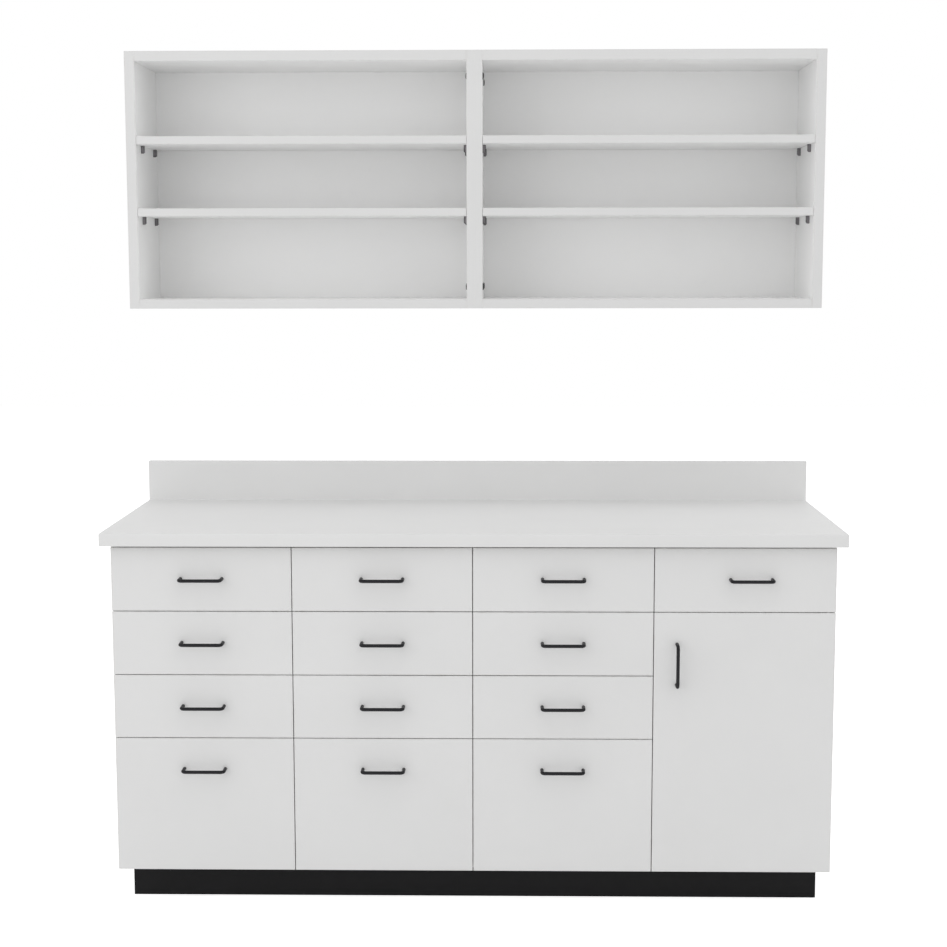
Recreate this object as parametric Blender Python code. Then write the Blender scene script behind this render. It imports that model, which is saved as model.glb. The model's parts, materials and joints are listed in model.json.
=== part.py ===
"""A clinic pharmacy cabinet: drawers and one cupboard under a worktop, and open shelves on the wall above.

Metres, +Z up. The origin is on the floor, in the middle of the outer box. The drawer faces look along -Y,
and everything backs on to one wall plane at +Y.
"""

import bmesh
import bpy
from math import cos, pi, sin, sqrt
from mathutils import Matrix, Vector

# Base run
RUN_WIDTH = 1.676  # across the drawer faces
COLUMNS = 4
SMALL_ROWS = 3  # shallow drawers above each deep one
CASE_DEPTH = 0.558  # wall plane to the front edges of the boards
CASE_HEIGHT = 0.774  # underside of the deck to underside of the worktop
BOARD = 0.019
BACK_T = 0.006
KICK_HEIGHT = 0.090
KICK_RECESS = 0.075  # behind the drawer faces
KICK_INSET = 0.0195  # in from each end of the run
KICK_REAR = 0.020  # left open between the plinth and the wall

# Worktop with its upstand
WORKTOP_T = 0.031
WORKTOP_FRONT = 0.020  # past the drawer faces
WORKTOP_END = 0.0225  # past each end of the run
UPSTAND_HEIGHT = 0.1025
UPSTAND_T = 0.020

# Drawer faces and the door
FACE_T = 0.019
FACE_GAP = 0.002  # between neighbouring faces
FACE_STANDOFF = 0.003  # between a face and the boards behind it
TOP_GAP = 0.004  # between the upper faces and the worktop
SMALL_FACE = 0.1487  # height of a shallow face

# Drawer boxes
BOX_WALL = 0.012
BOX_FLOOR = 0.008
BOX_LIFT = 0.030  # box underside above the lower edge of its face
BOX_HEADROOM = 0.025  # box rim below the upper edge of its face
BOX_REAR = 0.044  # behind the box, to the back panel

# Side slides: a fixed channel on the case and a bar on the box that runs in it
SLIDE_SPACE = 0.0127  # between the box and the case on each side
CHANNEL_HEIGHT = 0.045
CHANNEL_WEB = 0.005
CHANNEL_LIP = 0.003
CHANNEL_LIFT = 0.012  # above the box underside
CHANNEL_SETBACK = 0.002  # behind the front edges of the boards
RUN_CLEARANCE = 0.0004

# Bar pulls
PULL_D = 0.008
PULL_CENTRES = 0.096
PULL_REACH = 0.034  # from the face to the front of the bar
PULL_BEND = 0.008  # radius of the bar's axis at each bend
PULL_DROP = 0.073  # bar below the upper edge of a drawer face
PULL_SHIFT = 0.014  # the drawer over the door has its bar this far right of the middle
DOOR_PULL_DROP = 0.122  # middle of the bar below the upper edge of the door
DOOR_PULL_INSET = 0.053  # bar in from the free edge of the door

# Cup hinges
HINGE_END = 0.100  # cup centre from the upper and lower edges of the door
CUP_D = 0.035
CUP_WALL = 0.0008
CUP_DEPTH = 0.0125  # inside
CUP_EDGE = 0.003  # from the cup to the edge of the door
FLANGE_HEIGHT = 0.062
FLANGE_WIDTH = 0.016
FLANGE_T = 0.0012
PIN_D = 0.003
BARREL_D = 0.0052
BARREL_HEIGHT = 0.008
ARM_T = 0.0016
ARM_LENGTH = 0.062  # behind the front edge of the side
PLATE_T = 0.0037
PLATE_HEIGHT = 0.036
PLATE_LENGTH = 0.044
HINGE_CLEARANCE = 0.0003

# Wall unit: two cases side by side
WALL_WIDTH = 1.692
WALL_DEPTH = 0.265
WALL_BOTTOM = 1.4016
WALL_HEIGHT = 0.619
WALL_END = 0.024  # outer sides
WALL_MID = 0.019  # each of the twin boards in the middle
WALL_TOP = 0.024
WALL_FLOOR = 0.022
SHELF_T = 0.019
SHELF_SETBACK = 0.001
SHELF_PLAY = 0.0006
LOWER_SHELF = 0.2243  # underside of the lower shelf above the bottom of the case
UPPER_SHELF = 0.3976  # underside of the upper shelf above the bottom of the case
CLIP_REACH = 0.008
CLIP_DEPTH = 0.010
CLIP_HEIGHT = 0.0185
CLIP_CUT = 0.003  # corner taken off at the foot of a clip
CLIP_FRONT = 0.059  # front clip behind the front of the case
CLIP_BACK = 0.209  # rear clip behind the front of the case

# Clearances and fineness
FIT = 0.0003  # between pieces that touch
SINK = 0.002  # how far joined shapes of one piece reach into each other
ROUND_SIDES = 40
SMALL_ROUND_SIDES = 16
BEND_STEPS = 6
PULL_ROUNDING = 3  # steps in a quarter of the bar's section

# Places worked out from the sizes
PITCH = RUN_WIDTH / COLUMNS
RUN_END = RUN_WIDTH / 2
FACE_DEPTH = CASE_DEPTH + FACE_STANDOFF + FACE_T
WORKTOP_DEPTH = FACE_DEPTH + WORKTOP_FRONT
WALL_Y = max(FACE_DEPTH + PULL_REACH, WORKTOP_DEPTH) / 2
CASE_Y = WALL_Y - CASE_DEPTH
FACE_BACK_Y = CASE_Y - FACE_STANDOFF
FACE_Y = FACE_BACK_Y - FACE_T
INNER_BACK_Y = WALL_Y - BACK_T - FIT
DECK_TOP = KICK_HEIGHT + BOARD
CASE_TOP = KICK_HEIGHT + CASE_HEIGHT
FACE_TOP = CASE_TOP - TOP_GAP
ROW_PITCH = SMALL_FACE + FACE_GAP
BOX_FRONT_Y = FACE_BACK_Y + FIT
BOX_BACK_Y = WALL_Y - BACK_T - BOX_REAR
DOOR_TOP = FACE_TOP - ROW_PITCH
CUP_X = RUN_END - CUP_EDGE - CUP_D / 2
CUP_INNER = CUP_D / 2 - CUP_WALL
PIN_X = CUP_X + sqrt(CUP_INNER**2 - (BARREL_HEIGHT / 2) ** 2) - BARREL_D / 2 - HINGE_CLEARANCE
PIN_Y = FACE_BACK_Y - CUP_DEPTH + BARREL_D / 2 + HINGE_CLEARANCE
HINGE_HEIGHTS = {"lower": KICK_HEIGHT + HINGE_END, "upper": DOOR_TOP - HINGE_END}


def clear_scene():
    for old in list(bpy.data.objects):
        bpy.data.objects.remove(old, do_unlink=True)


def make_material(name, colour, roughness, metallic=0.0):
    material = bpy.data.materials.new(name)
    material.use_nodes = True
    shader = material.node_tree.nodes["Principled BSDF"]
    shader.inputs["Base Color"].default_value = (*colour, 1.0)
    shader.inputs["Roughness"].default_value = roughness
    shader.inputs["Metallic"].default_value = metallic
    return material


def new_object(name, shape):
    """Turns a bmesh into an object of that name, with its faces pointing out."""
    bmesh.ops.recalc_face_normals(shape, faces=shape.faces)
    mesh = bpy.data.meshes.new(name)
    shape.to_mesh(mesh)
    shape.free()
    thing = bpy.data.objects.new(name, mesh)
    bpy.context.scene.collection.objects.link(thing)
    return thing


def box(low, high, name="box"):
    """A box between two opposite corners."""
    shape = bmesh.new()
    size = Vector(high) - Vector(low)
    middle = (Vector(high) + Vector(low)) / 2
    bmesh.ops.create_cube(shape, size=1.0, matrix=Matrix.Translation(middle) @ Matrix.Diagonal((*size, 1.0)))
    return new_object(name, shape)


def prism(outline, axis, start, end, name="prism"):
    """An outline across an axis, run from start to end along it."""
    shape = bmesh.new()
    rings = []
    for along in (start, end):
        ring = []
        for first, second in outline:
            point = [first, second]
            point.insert(axis, along)
            ring.append(shape.verts.new(point))
        rings.append(ring)
    shape.faces.new(rings[0])
    shape.faces.new(rings[1])
    count = len(outline)
    for i in range(count):
        j = (i + 1) % count
        shape.faces.new((rings[0][i], rings[0][j], rings[1][j], rings[1][i]))
    return new_object(name, shape)


def rod(start, end, radius, sides, name="rod"):
    """A round bar between two points."""
    shape = bmesh.new()
    start = Vector(start)
    run = Vector(end) - start
    turn = Vector((0, 0, 1)).rotation_difference(run).to_matrix().to_4x4()
    bmesh.ops.create_cone(
        shape,
        cap_ends=True,
        segments=sides,
        radius1=radius,
        radius2=radius,
        depth=run.length,
        matrix=Matrix.Translation(start + run / 2) @ turn,
    )
    return new_object(name, shape)


def combine(base, others, operation):
    """Joins the others to base, or cuts them from it, and removes them."""
    for other in others:
        step = base.modifiers.new(operation, "BOOLEAN")
        step.operation = operation
        step.solver = "EXACT"
        step.object = other
    bpy.context.view_layer.update()
    result = base.evaluated_get(bpy.context.evaluated_depsgraph_get())
    mesh = bpy.data.meshes.new_from_object(result)
    base.modifiers.clear()
    base.data = mesh
    for other in others:
        bpy.data.objects.remove(other, do_unlink=True)
    return base


def finish(thing, name, material, parent=None):
    """Names a piece, gives it its material and moves its origin to its parent's, or to its own middle."""
    thing.name = name
    thing.data.name = name
    thing.data.materials.clear()
    thing.data.materials.append(material)
    if parent is None:
        corners = [Vector(corner) for corner in thing.bound_box]
        origin = sum(corners, Vector()) / len(corners)
        thing.location = origin
    else:
        origin = parent.location.copy()
        thing.parent = parent
    thing.data.transform(Matrix.Translation(-origin))
    return thing


def make_empty(name, place):
    empty = bpy.data.objects.new(name, None)
    empty.location = place
    bpy.context.scene.collection.objects.link(empty)
    return empty


def column_middle(column):
    return -RUN_END + (column + 0.5) * PITCH


def column_span(column):
    """The clear width between the boards of a column, as left and right x."""
    left = -RUN_END + BOARD if column == 0 else -RUN_END + column * PITCH + BOARD / 2
    right = RUN_END - BOARD if column == COLUMNS - 1 else -RUN_END + (column + 1) * PITCH - BOARD / 2
    return left, right


def face_span(column):
    """The left and right x of the faces of a column: they end flush with the run."""
    left = -RUN_END if column == 0 else -RUN_END + column * PITCH + FACE_GAP / 2
    right = RUN_END if column == COLUMNS - 1 else -RUN_END + (column + 1) * PITCH - FACE_GAP / 2
    return left, right


def drawer_rows(column):
    """The upper and lower edges of the drawer faces in a column, from the top down."""
    rows = []
    small = 1 if column == COLUMNS - 1 else SMALL_ROWS
    for row in range(small):
        top = FACE_TOP - row * ROW_PITCH
        rows.append((top, top - SMALL_FACE))
    if column < COLUMNS - 1:
        rows.append((FACE_TOP - SMALL_ROWS * ROW_PITCH, KICK_HEIGHT))
    return rows


def fixed_channels(column, side):
    """The slide channels on one wall of a column: side is -1 for its left wall and 1 for its right wall."""
    wall = column_span(column)[0 if side < 0 else 1]
    inward = -side
    web = wall + inward * CHANNEL_WEB
    tip = wall + inward * (SLIDE_SPACE - RUN_CLEARANCE)
    root = wall - inward * SINK
    channels = []
    for _, bottom in drawer_rows(column):
        low = bottom + BOX_LIFT + CHANNEL_LIFT
        high = low + CHANNEL_HEIGHT
        outline = [
            (root, low),
            (tip, low),
            (tip, low + CHANNEL_LIP),
            (web, low + CHANNEL_LIP),
            (web, high - CHANNEL_LIP),
            (tip, high - CHANNEL_LIP),
            (tip, high),
            (root, high),
        ]
        channels.append(prism(outline, 1, CASE_Y + CHANNEL_SETBACK, BOX_BACK_Y))
    return channels


def build_base_case(white):
    inner = RUN_END - BOARD
    for name, end, column, side in (
        ("base_left_side", -RUN_END, 0, -1),
        ("base_right_side", RUN_END, COLUMNS - 1, 1),
    ):
        edges = sorted((end, end - side * BOARD))
        board = box((edges[0], CASE_Y, KICK_HEIGHT), (edges[1], WALL_Y, CASE_TOP - FIT))
        finish(combine(board, fixed_channels(column, side), "UNION"), name, white)

    for index in range(1, COLUMNS):
        x = -RUN_END + index * PITCH
        low = (x - BOARD / 2, CASE_Y, DECK_TOP + FIT)
        high = (x + BOARD / 2, INNER_BACK_Y, CASE_TOP - FIT)
        channels = fixed_channels(index - 1, 1) + fixed_channels(index, -1)
        finish(combine(box(low, high), channels, "UNION"), f"base_partition_{index}", white)

    reach = inner - FIT
    deck = box((-reach, CASE_Y, KICK_HEIGHT), (reach, INNER_BACK_Y, DECK_TOP))
    finish(deck, "base_deck", white)
    back = box((-reach, WALL_Y - BACK_T, KICK_HEIGHT), (reach, WALL_Y, CASE_TOP - FIT))
    finish(back, "base_back", white)


def build_toe_kick(black):
    end = RUN_END - KICK_INSET
    front = FACE_Y + KICK_RECESS
    rear = WALL_Y - KICK_REAR
    top = KICK_HEIGHT - FIT
    ring = box((-end, front, 0.0), (end, rear, top))
    hollow = box((-end + BOARD, front + BOARD, -SINK), (end - BOARD, rear - BOARD, top + SINK))
    finish(combine(ring, [hollow], "DIFFERENCE"), "toe_kick", black)


def build_worktop(white):
    end = RUN_END + WORKTOP_END
    front = WALL_Y - WORKTOP_DEPTH
    top = CASE_TOP + WORKTOP_T
    outline = [
        (front, CASE_TOP),
        (WALL_Y, CASE_TOP),
        (WALL_Y, top + UPSTAND_HEIGHT),
        (WALL_Y - UPSTAND_T, top + UPSTAND_HEIGHT),
        (WALL_Y - UPSTAND_T, top),
        (front, top),
    ]
    finish(prism(outline, 0, -end, end), "worktop", white)


def make_pull_mesh():
    """A bent bar that stands on the plane y = 0, with its grip along X and its middle at the origin."""
    half = PULL_CENTRES / 2
    depth = PULL_REACH - PULL_D / 2
    quarter = [pi / 2 * i / BEND_STEPS for i in range(BEND_STEPS + 1)]
    right = [(half - PULL_BEND * (1 - cos(a)), PULL_BEND * (1 - sin(a)) - depth) for a in reversed(quarter)]
    path = [(-x, y) for x, y in reversed(right)]
    path.insert(0, (-half, -FIT))
    path.extend(right)
    path.append((half, -FIT))
    curve = bpy.data.curves.new("pull", "CURVE")
    curve.dimensions = "3D"
    curve.bevel_depth = PULL_D / 2
    curve.bevel_resolution = PULL_ROUNDING
    curve.use_fill_caps = True
    line = curve.splines.new("POLY")
    line.points.add(len(path) - 1)
    for point, (x, y) in zip(line.points, path):
        point.co = (x, y, 0.0, 1.0)
    bar = bpy.data.objects.new("pull", curve)
    bpy.context.scene.collection.objects.link(bar)
    bpy.context.view_layer.update()
    mesh = bpy.data.meshes.new_from_object(bar.evaluated_get(bpy.context.evaluated_depsgraph_get()))
    bpy.data.objects.remove(bar, do_unlink=True)
    mesh.shade_smooth()
    mesh.set_sharp_from_angle(angle=pi / 4)
    return mesh


def place_pull(name, mesh, black, parent, place, upright=False):
    pull = bpy.data.objects.new(name, mesh)
    if not mesh.materials:
        mesh.materials.append(black)
    bpy.context.scene.collection.objects.link(pull)
    pull.parent = parent
    pull.location = Vector(place) - parent.location
    pull.rotation_euler.y = pi / 2 if upright else 0.0
    return pull


def make_drawer_box(column, top, bottom):
    """An open tray with the sliding bar of a slide on each side."""
    left, right = column_span(column)
    left += SLIDE_SPACE
    right -= SLIDE_SPACE
    low = bottom + BOX_LIFT
    high = top - BOX_HEADROOM
    tray = box((left, BOX_FRONT_Y, low), (right, BOX_BACK_Y, high))
    inside_low = (left + BOX_WALL, BOX_FRONT_Y + BOX_WALL, low + BOX_FLOOR)
    inside_high = (right - BOX_WALL, BOX_BACK_Y - BOX_WALL, high + SINK)
    combine(tray, [box(inside_low, inside_high)], "DIFFERENCE")
    play = CHANNEL_LIP + RUN_CLEARANCE
    bar_low = low + CHANNEL_LIFT + play
    bar_high = low + CHANNEL_LIFT + CHANNEL_HEIGHT - play
    reach = SLIDE_SPACE - CHANNEL_WEB - RUN_CLEARANCE
    bars = []
    for edge, outward in ((left, -1), (right, 1)):
        ends = sorted((edge - outward * SINK, edge + outward * reach))
        bars.append(box((ends[0], BOX_FRONT_Y, bar_low), (ends[1], BOX_BACK_Y, bar_high)))
    return combine(tray, bars, "UNION")


def build_drawers(white, black, pull_mesh):
    for column in range(COLUMNS):
        left, right = face_span(column)
        middle = column_middle(column)
        shift = PULL_SHIFT if column == COLUMNS - 1 else 0.0
        for row, (top, bottom) in enumerate(drawer_rows(column), start=1):
            name = f"drawer_c{column + 1}_r{row}"
            carrier = make_empty(f"{name}_slide", (middle, FACE_BACK_Y, (top + bottom) / 2))
            face = box((left, FACE_Y, bottom), (right, FACE_BACK_Y, top))
            finish(face, f"{name}_front", white, carrier)
            finish(make_drawer_box(column, top, bottom), f"{name}_box", white, carrier)
            place = (middle + shift, FACE_Y, top - PULL_DROP)
            place_pull(f"{name}_pull", pull_mesh, black, carrier, place)


def build_door(white, black, steel, pull_mesh):
    carrier = make_empty("door_hinge_line", (PIN_X, PIN_Y, (DOOR_TOP + KICK_HEIGHT) / 2))
    free_edge, hinge_edge = face_span(COLUMNS - 1)
    leaf = box((free_edge, FACE_Y, KICK_HEIGHT), (hinge_edge, FACE_BACK_Y, DOOR_TOP))
    depth = CUP_DEPTH + CUP_WALL + FIT
    bores = []
    for z in HINGE_HEIGHTS.values():
        start = (CUP_X, FACE_BACK_Y - depth, z)
        bores.append(rod(start, (CUP_X, FACE_BACK_Y + SINK, z), CUP_D / 2 + FIT, ROUND_SIDES))
    finish(combine(leaf, bores, "DIFFERENCE"), "door", white, carrier)
    place = (free_edge + DOOR_PULL_INSET, FACE_Y, DOOR_TOP - DOOR_PULL_DROP)
    place_pull("door_pull", pull_mesh, black, carrier, place, upright=True)
    for level, z in HINGE_HEIGHTS.items():
        finish(make_hinge_cup(z), f"hinge_cup_{level}", steel, carrier)
        finish(make_hinge_arm(z), f"hinge_arm_{level}", steel)


def make_hinge_cup(z):
    """The cup let into the door, its flange on the back of the door, and the pin across the cup."""
    floor = FACE_BACK_Y - CUP_DEPTH
    lip = FACE_BACK_Y + FIT
    cup = rod((CUP_X, floor - CUP_WALL, z), (CUP_X, lip + FLANGE_T, z), CUP_D / 2, ROUND_SIDES)
    half = FLANGE_HEIGHT / 2
    flange = box(
        (CUP_X - FLANGE_WIDTH / 2, lip, z - half),
        (CUP_X + FLANGE_WIDTH / 2, lip + FLANGE_T, z + half),
    )
    combine(cup, [flange], "UNION")
    hollow = rod((CUP_X, floor, z), (CUP_X, lip + FLANGE_T + SINK, z), CUP_INNER, ROUND_SIDES)
    combine(cup, [hollow], "DIFFERENCE")
    pin_half = sqrt((CUP_D / 2 - CUP_WALL / 2) ** 2 - (PIN_X - CUP_X + PIN_D / 2) ** 2)
    pin = rod((PIN_X, PIN_Y, z - pin_half), (PIN_X, PIN_Y, z + pin_half), PIN_D / 2, SMALL_ROUND_SIDES)
    return combine(cup, [pin], "UNION")


def make_hinge_arm(z):
    """The fixed half of a hinge: a barrel on the pin, a cranked arm and the plate on the cabinet side."""
    half = BARREL_HEIGHT / 2
    wall = RUN_END - BOARD
    leg_right = wall - FIT - PLATE_T
    leg_left = leg_right - ARM_T
    rear = CASE_Y + ARM_LENGTH
    barrel = rod((PIN_X, PIN_Y, z - half), (PIN_X, PIN_Y, z + half), BARREL_D / 2, SMALL_ROUND_SIDES)
    crank = box((leg_left, PIN_Y - ARM_T / 2, z - half), (PIN_X, PIN_Y + ARM_T / 2, z + half))
    leg = box((leg_left, PIN_Y - ARM_T / 2, z - half), (leg_right, rear, z + half))
    plate = box(
        (leg_right - ARM_T / 2, rear - PLATE_LENGTH, z - PLATE_HEIGHT / 2),
        (wall - FIT, rear, z + PLATE_HEIGHT / 2),
    )
    combine(barrel, [crank, leg, plate], "UNION")
    reach = half + SINK
    bore = rod(
        (PIN_X, PIN_Y, z - reach),
        (PIN_X, PIN_Y, z + reach),
        PIN_D / 2 + HINGE_CLEARANCE,
        SMALL_ROUND_SIDES,
    )
    return combine(barrel, [bore], "DIFFERENCE")


def wall_case_span(side):
    """The clear width inside one wall case, as left and right x: side is -1 for the left case."""
    outer = WALL_WIDTH / 2 - WALL_END
    inner = FIT / 2 + WALL_MID
    return (-outer, -inner) if side < 0 else (inner, outer)


def shelf_clips(left, right):
    """The clips that carry both shelves of one wall case, on the two sides of the case."""
    front = WALL_Y - WALL_DEPTH
    clips = []
    for level in (LOWER_SHELF, UPPER_SHELF):
        top = WALL_BOTTOM + level - FIT
        foot = top - CLIP_HEIGHT
        for wall, inward in ((left, 1), (right, -1)):
            outline = [
                (wall - inward * SINK, foot),
                (wall + inward * (CLIP_REACH - CLIP_CUT), foot),
                (wall + inward * CLIP_REACH, foot + CLIP_CUT),
                (wall + inward * CLIP_REACH, top),
                (wall - inward * SINK, top),
            ]
            for setback in (CLIP_FRONT, CLIP_BACK):
                clips.append(prism(outline, 1, front + setback, front + setback + CLIP_DEPTH))
    return clips


def build_wall_unit(white):
    front = WALL_Y - WALL_DEPTH
    top = WALL_BOTTOM + WALL_HEIGHT
    for word, side in (("left", -1), ("right", 1)):
        left, right = wall_case_span(side)
        ends = sorted((side * FIT / 2, side * WALL_WIDTH / 2))
        case = box((ends[0], front, WALL_BOTTOM), (ends[1], WALL_Y, top))
        hollow = box(
            (left, front - SINK, WALL_BOTTOM + WALL_FLOOR),
            (right, WALL_Y - BACK_T, top - WALL_TOP),
        )
        combine(case, [hollow], "DIFFERENCE")
        finish(combine(case, shelf_clips(left, right), "UNION"), f"wall_case_{word}", white)
        for height, level in (("lower", LOWER_SHELF), ("upper", UPPER_SHELF)):
            low = WALL_BOTTOM + level
            shelf = box(
                (left + SHELF_PLAY, front + SHELF_SETBACK, low),
                (right - SHELF_PLAY, WALL_Y - BACK_T - SHELF_PLAY, low + SHELF_T),
            )
            finish(shelf, f"wall_shelf_{word}_{height}", white)


def main():
    clear_scene()
    white = make_material("white_laminate", (0.80, 0.80, 0.79), 0.45)
    black = make_material("black_powder_coat", (0.02, 0.02, 0.022), 0.45)
    plinth = make_material("black_plinth", (0.015, 0.015, 0.016), 0.55)
    steel = make_material("nickel_steel", (0.62, 0.62, 0.63), 0.3, 1.0)
    pull_mesh = make_pull_mesh()
    build_toe_kick(plinth)
    build_base_case(white)
    build_worktop(white)
    build_drawers(white, black, pull_mesh)
    build_door(white, black, steel, pull_mesh)
    build_wall_unit(white)


main()
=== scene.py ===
# %% [markdown]
# # A clinic pharmacy cabinet with wall shelves
# This lesson dresses a packed cabinet in Blender: thirteen drawers and one cupboard under a laminate worktop,
# and a pair of open shelf cases on the wall above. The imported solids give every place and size. Each step
# says what the piece is on the real cabinet, how it could be made, and why it is made this way.

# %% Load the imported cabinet
import json
import math

import bmesh
import bpy
from mathutils import Matrix, Vector

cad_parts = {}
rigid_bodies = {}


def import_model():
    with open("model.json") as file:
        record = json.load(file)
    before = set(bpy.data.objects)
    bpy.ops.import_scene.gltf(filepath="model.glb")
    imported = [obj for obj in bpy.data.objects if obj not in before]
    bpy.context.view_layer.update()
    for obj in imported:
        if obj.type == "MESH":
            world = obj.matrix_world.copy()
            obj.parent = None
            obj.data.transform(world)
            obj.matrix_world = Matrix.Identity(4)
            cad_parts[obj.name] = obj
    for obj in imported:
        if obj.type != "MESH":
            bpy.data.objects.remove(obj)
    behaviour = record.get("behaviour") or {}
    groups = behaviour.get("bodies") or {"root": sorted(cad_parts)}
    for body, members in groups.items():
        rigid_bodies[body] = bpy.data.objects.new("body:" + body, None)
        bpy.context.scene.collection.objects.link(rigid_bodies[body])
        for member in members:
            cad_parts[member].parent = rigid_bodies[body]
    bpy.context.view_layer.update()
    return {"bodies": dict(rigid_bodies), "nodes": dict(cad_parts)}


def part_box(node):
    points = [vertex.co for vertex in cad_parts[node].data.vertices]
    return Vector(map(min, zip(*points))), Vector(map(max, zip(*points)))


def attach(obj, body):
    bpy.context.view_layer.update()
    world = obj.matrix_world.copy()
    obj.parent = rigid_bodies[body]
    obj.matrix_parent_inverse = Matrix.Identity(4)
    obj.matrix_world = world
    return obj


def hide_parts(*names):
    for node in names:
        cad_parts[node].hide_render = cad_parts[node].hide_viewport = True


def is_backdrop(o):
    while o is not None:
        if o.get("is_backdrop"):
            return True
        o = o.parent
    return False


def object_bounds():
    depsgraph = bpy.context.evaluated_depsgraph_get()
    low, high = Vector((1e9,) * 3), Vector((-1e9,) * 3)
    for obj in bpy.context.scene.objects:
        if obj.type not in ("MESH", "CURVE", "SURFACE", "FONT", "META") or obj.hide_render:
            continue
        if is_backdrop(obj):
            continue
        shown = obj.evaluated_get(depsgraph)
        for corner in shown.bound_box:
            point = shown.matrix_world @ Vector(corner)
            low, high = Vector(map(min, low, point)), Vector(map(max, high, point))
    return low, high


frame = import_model()
CASE_BODY, DOOR_BODY = "cabinet", "cupboard_door"
drawers = sorted(name for name in frame["bodies"] if name.startswith("drawer_"))
print(len(frame["nodes"]), "solids,", len(drawers), "drawers")

# %% [markdown]
# ## Helpers
# Two helpers put objects and meshes in the scene. The others place nodes, because shaders, the stage and
# Geometry Nodes are all trees of them: each sets a node's properties and fills its inputs with values or
# links, so that a tree reads from top to bottom.

# %% Helpers
GEOMETRY, FINISH = "NodeSocketGeometry", "NodeSocketMaterial"
SOCKETS = {float: "NodeSocketFloat", tuple: "NodeSocketVector", int: "NodeSocketInt"}


def new_object(name, data):
    """An object in the scene, with its data."""
    thing = bpy.data.objects.new(name, data)
    bpy.context.scene.collection.objects.link(thing)
    return thing


def to_mesh(name, shape, finishes=()):
    """Turns a shape into a mesh with its finishes."""
    mesh = bpy.data.meshes.new(name)
    shape.to_mesh(mesh)
    shape.free()
    for finish in finishes:
        mesh.materials.append(finish)
    return mesh


def add(tree, kind, feeds=None, **settings):
    """Places one node: settings are its properties, feeds the values or links of its inputs."""
    placed = tree.nodes.new(kind)
    for key, value in settings.items():
        setattr(placed, key, value)
    for key, value in (feeds or {}).items():
        if isinstance(value, bpy.types.NodeSocket):
            tree.links.new(value, placed.inputs[key])
        else:
            placed.inputs[key].default_value = value
    return placed


def out(tree, kind, feeds=None, **settings):
    """Places one node and gives its first output."""
    return add(tree, kind, feeds, **settings).outputs[0]


def calc(tree, operation, first, second):
    """The result of one sum."""
    return out(tree, "ShaderNodeMath", {0: first, 1: second}, operation=operation)


def noise(tree, place, scale, detail, roughness=0.5):
    """The value of a noise, which is mostly between 0.3 and 0.7."""
    feeds = {"Vector": place, "Scale": scale, "Detail": detail, "Roughness": roughness}
    return out(tree, "ShaderNodeTexNoise", feeds)


def spread(tree, value, low, high, start=0.3, end=0.7):
    """Stretches a value from the range start to end to the range low to high."""
    feeds = {"Value": value, "From Min": start, "From Max": end, "To Min": low, "To Max": high}
    return out(tree, "ShaderNodeMapRange", feeds)


def new_group(title, inputs, *effects):
    """An empty group, for shaders where effects are named and for a mesh where none are.

    An input is given by its value, or by its socket type where it has none.
    """
    tree = bpy.data.node_groups.new(title, "ShaderNodeTree" if effects else "GeometryNodeTree")
    for name, value in inputs.items():
        socket = value if isinstance(value, str) else SOCKETS[type(value)]
        made = tree.interface.new_socket(name, in_out="INPUT", socket_type=socket)
        if value != socket:
            made.default_value = value
    for name in effects or ("Mesh",):
        socket = SOCKETS[float] if effects else GEOMETRY
        tree.interface.new_socket(name, in_out="OUTPUT", socket_type=socket)
    return tree, add(tree, "NodeGroupInput").outputs, add(tree, "NodeGroupOutput").inputs


def put_out(tree, result, **sockets):
    """Links what a group has worked out to its outputs."""
    for name, socket in sockets.items():
        tree.links.new(socket, result[name])


def bare_tree(owner):
    """The node tree of a world or a material, emptied."""
    owner.use_nodes = True
    owner.node_tree.nodes.clear()
    return owner.node_tree


# %% [markdown]
# ## Camera
# The photograph is taken almost square on, from a little above the worktop. Edge lines of the faces, the
# worktop and the wall cases were matched to it by least squares, which gave the place, lens and turns below.
# Angles are chosen over a tracking constraint, because the solved view isn't aimed at any one point.

# %% Camera
PHOTO_SIDE, FOCAL_PIXELS, SENSOR_WIDTH = 947, 1738.3, 36.0
CAMERA_PLACE = (0.0748, -4.2268, 1.5123)
CAMERA_PITCH, CAMERA_YAW, CAMERA_ROLL = 0.12064, 0.01829, -0.0014
camera_data = bpy.data.cameras.new("photo_camera")
camera_data.sensor_width = SENSOR_WIDTH
camera_data.lens = FOCAL_PIXELS / PHOTO_SIDE * SENSOR_WIDTH
camera = new_object("photo_camera", camera_data)
turn = Matrix.Rotation(CAMERA_YAW, 4, "Z") @ Matrix.Rotation(math.pi / 2 - CAMERA_PITCH, 4, "X")
camera.matrix_world = Matrix.Translation(CAMERA_PLACE) @ turn @ Matrix.Rotation(CAMERA_ROLL, 4, "Z")
bpy.context.scene.camera = camera
print(f"lens {camera_data.lens:.2f} mm")

# %% [markdown]
# ## Stage and light
# The photograph is a studio shot on white, lit softly from the front and a little more from the left. A
# bright backdrop would hide the cabinet's back in other views, so the white comes from the world and the
# floor as the camera sees them, and the light that falls on the cabinet is set apart from it.

# %% Stage and light
AMBIENT = 0.83
FLOOR_COLOUR, FLOOR_GLOW, FLOOR_REACH = (0.90, 0.90, 0.90, 1.0), 0.705, 14.0
WHITE = (1.0, 1.0, 1.0, 1.0)
CABINET_MIDDLE = Vector((0.0, 0.0, 1.0))
LAMPS = (
    ("key_left", (-2.6, -3.4, 2.0), 2.4, 13.2),
    ("overhead", (0.0, -1.8, 4.4), 3.0, 16.6),
    ("wide_left", (-4.2, -2.4, 1.6), 3.0, 7.0),
    ("wide_right", (4.2, -2.4, 1.6), 3.0, 4.6),
    ("fill_rear", (1.5, 3.4, 4.6), 2.6, 8.0),
)


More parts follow.
